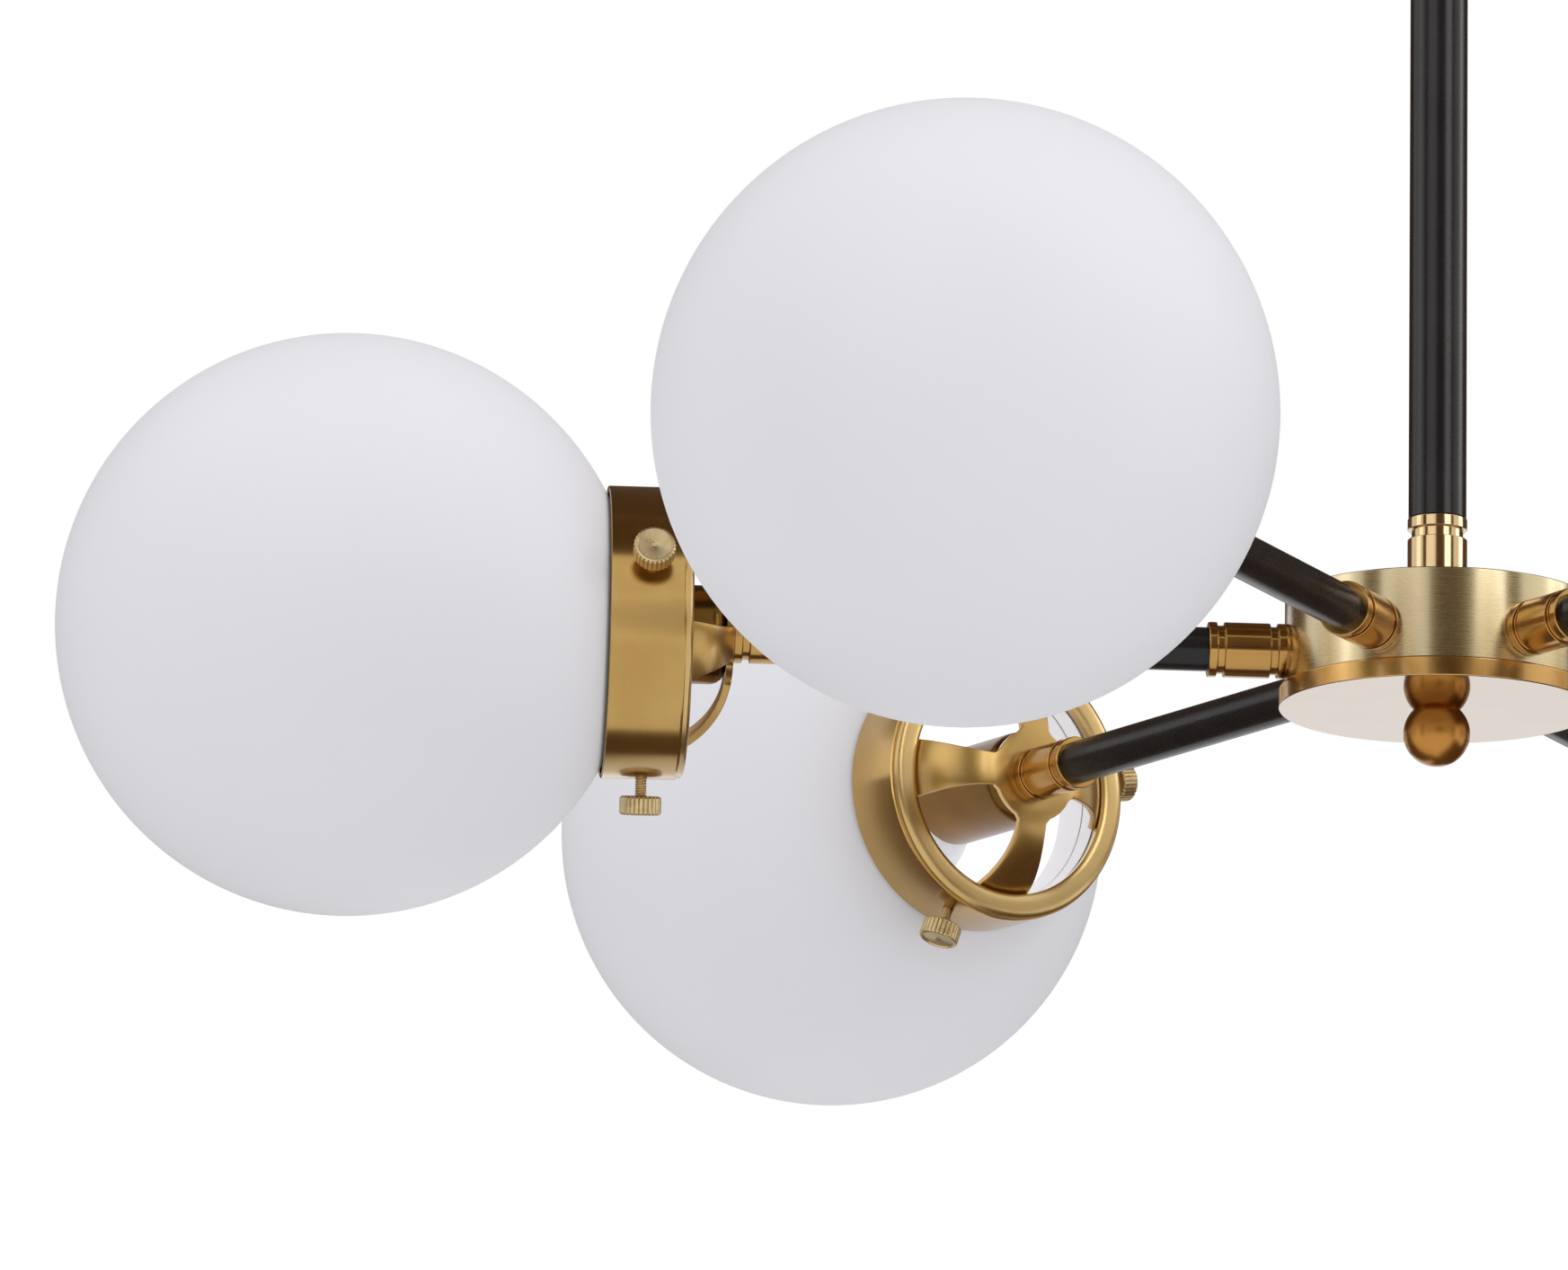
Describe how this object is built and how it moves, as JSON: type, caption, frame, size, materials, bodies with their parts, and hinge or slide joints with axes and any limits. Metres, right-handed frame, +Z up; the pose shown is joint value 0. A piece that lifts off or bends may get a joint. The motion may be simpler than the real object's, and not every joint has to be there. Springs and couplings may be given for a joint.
{
  "type": "pendant light",
  "caption": "Pendant light: opal glass globes on level arms round a brass drum hub, hung by black rods from a swivel canopy.",
  "frame": {"origin": "middle of the crossbar on the ceiling plane, over the hub", "axes": "+Z up to the ceiling, arm 1 along +X"},
  "size_m": [0.952, 0.8512, 0.7079],
  "materials": {
    "satin_brass": "brushed and aged",
    "bright_brass": "polished",
    "screw_brass": "bare, turned and knurled",
    "black_paint": "satin black",
    "opal_glass": "opal, satin",
    "zinc_steel": "zinc plated",
    "ivory_plastic": "moulded",
    "bulb_plastic": "frosted",
    "lead_sheath": "smooth sheath"
  },
  "bodies": {
    "ceiling_mount": {"canopy": "satin_brass", "crossbar": "zinc_steel", "canopy_studs": "zinc_steel", "cap_nuts": "satin_brass"},
    "swivel": {"swivel_fork": "satin_brass", "pivot_screws": "screw_brass", "canopy_locknut": "zinc_steel", "canopy_lead": "lead_sheath"},
    "lamp": {"swivel_tongue": "satin_brass", "upper_rod": "black_paint", "rod_coupling": "satin_brass", "lower_rod": "black_paint", "hub_coupling": "satin_brass", "hub_drum": "satin_brass", "hub_nut": "zinc_steel", "centre_nipple": "zinc_steel", "main_lead": "lead_sheath", "arm_tubes": "black_paint", "hub_collars": "satin_brass", "holder_collars": "satin_brass", "arm_nipples": "zinc_steel", "arm_nuts": "zinc_steel", "arm_leads": "lead_sheath", "spiders": "satin_brass", "socket_cups": "satin_brass", "lampholders": "ivory_plastic", "screw_shells": "screw_brass", "bulbs": "bulb_plastic", "holder_1": "satin_brass", "holder_2": "satin_brass", "holder_3": "satin_brass", "holder_4": "satin_brass", "holder_5": "satin_brass", "holder_6": "satin_brass", "globe_1": "opal_glass", "globe_2": "opal_glass", "globe_3": "opal_glass", "globe_4": "opal_glass", "globe_5": "opal_glass", "globe_6": "opal_glass"},
    "hub_cap": {"hub_cover": "bright_brass", "ball_finial": "satin_brass"},
    "thumbscrew_1a": {"thumbscrew_1a": "screw_brass"},
    "thumbscrew_1b": {"thumbscrew_1b": "screw_brass"},
    "thumbscrew_1c": {"thumbscrew_1c": "screw_brass"},
    "thumbscrew_2a": {"thumbscrew_2a": "screw_brass"},
    "thumbscrew_2b": {"thumbscrew_2b": "screw_brass"},
    "thumbscrew_2c": {"thumbscrew_2c": "screw_brass"},
    "thumbscrew_3a": {"thumbscrew_3a": "screw_brass"},
    "thumbscrew_3b": {"thumbscrew_3b": "screw_brass"},
    "thumbscrew_3c": {"thumbscrew_3c": "screw_brass"},
    "thumbscrew_4a": {"thumbscrew_4a": "screw_brass"},
    "thumbscrew_4b": {"thumbscrew_4b": "screw_brass"},
    "thumbscrew_4c": {"thumbscrew_4c": "screw_brass"},
    "thumbscrew_5a": {"thumbscrew_5a": "screw_brass"},
    "thumbscrew_5b": {"thumbscrew_5b": "screw_brass"},
    "thumbscrew_5c": {"thumbscrew_5c": "screw_brass"},
    "thumbscrew_6a": {"thumbscrew_6a": "screw_brass"},
    "thumbscrew_6b": {"thumbscrew_6b": "screw_brass"},
    "thumbscrew_6c": {"thumbscrew_6c": "screw_brass"}
  },
  "joints": [
    {"name": "swivel_turn", "type": "hinge", "parent": "ceiling_mount", "child": "swivel", "pos_m": [0, 0, -0.0253], "axis": [0, 0, 1], "range_deg": [-170, 170]},
    {"name": "swivel_tilt", "type": "hinge", "parent": "swivel", "child": "lamp", "pos_m": [0, 0, -0.0408], "axis": [1, 0, 0], "range_deg": [-45, 45]},
    {"name": "hub_cap_lower", "type": "slide", "parent": "lamp", "child": "hub_cap", "axis": [0, 0, -1], "range_m": [0, 0.006]},
    {"name": "thumbscrew_1a_travel", "type": "slide", "parent": "lamp", "child": "thumbscrew_1a", "axis": [0, 0, -1], "range_m": [0, 0.004]},
    {"name": "thumbscrew_1b_travel", "type": "slide", "parent": "lamp", "child": "thumbscrew_1b", "axis": [0, 0.866, 0.5], "range_m": [0, 0.004]},
    {"name": "thumbscrew_1c_travel", "type": "slide", "parent": "lamp", "child": "thumbscrew_1c", "axis": [0, -0.866, 0.5], "range_m": [0, 0.004]},
    {"name": "thumbscrew_2a_travel", "type": "slide", "parent": "lamp", "child": "thumbscrew_2a", "axis": [0, 0, -1], "range_m": [0, 0.004]},
    {"name": "thumbscrew_2b_travel", "type": "slide", "parent": "lamp", "child": "thumbscrew_2b", "axis": [-0.75, 0.433, 0.5], "range_m": [0, 0.004]},
    {"name": "thumbscrew_2c_travel", "type": "slide", "parent": "lamp", "child": "thumbscrew_2c", "axis": [0.75, -0.433, 0.5], "range_m": [0, 0.004]},
    {"name": "thumbscrew_3a_travel", "type": "slide", "parent": "lamp", "child": "thumbscrew_3a", "axis": [-0.2962, -0.171, -0.9397], "range_m": [0, 0.004]},
    {"name": "thumbscrew_3b_travel", "type": "slide", "parent": "lamp", "child": "thumbscrew_3b", "axis": [-0.5567, -0.3214, 0.766], "range_m": [0, 0.004]},
    {"name": "thumbscrew_3c_travel", "type": "slide", "parent": "lamp", "child": "thumbscrew_3c", "axis": [0.8529, 0.4924, 0.1736], "range_m": [0, 0.004]},
    {"name": "thumbscrew_4a_travel", "type": "slide", "parent": "lamp", "child": "thumbscrew_4a", "axis": [0, 0.2419, -0.9703], "range_m": [0, 0.004]},
    {"name": "thumbscrew_4b_travel", "type": "slide", "parent": "lamp", "child": "thumbscrew_4b", "axis": [0, -0.9613, 0.2756], "range_m": [0, 0.004]},
    {"name": "thumbscrew_4c_travel", "type": "slide", "parent": "lamp", "child": "thumbscrew_4c", "axis": [0, 0.7193, 0.6947], "range_m": [0, 0.004]},
    {"name": "thumbscrew_5a_travel", "type": "slide", "parent": "lamp", "child": "thumbscrew_5a", "axis": [0, 0, -1], "range_m": [0, 0.004]},
    {"name": "thumbscrew_5b_travel", "type": "slide", "parent": "lamp", "child": "thumbscrew_5b", "axis": [0.75, -0.433, 0.5], "range_m": [0, 0.004]},
    {"name": "thumbscrew_5c_travel", "type": "slide", "parent": "lamp", "child": "thumbscrew_5c", "axis": [-0.75, 0.433, 0.5], "range_m": [0, 0.004]},
    {"name": "thumbscrew_6a_travel", "type": "slide", "parent": "lamp", "child": "thumbscrew_6a", "axis": [0, 0, -1], "range_m": [0, 0.004]},
    {"name": "thumbscrew_6b_travel", "type": "slide", "parent": "lamp", "child": "thumbscrew_6b", "axis": [0.75, 0.433, 0.5], "range_m": [0, 0.004]},
    {"name": "thumbscrew_6c_travel", "type": "slide", "parent": "lamp", "child": "thumbscrew_6c", "axis": [-0.75, -0.433, 0.5], "range_m": [0, 0.004]}
  ]
}
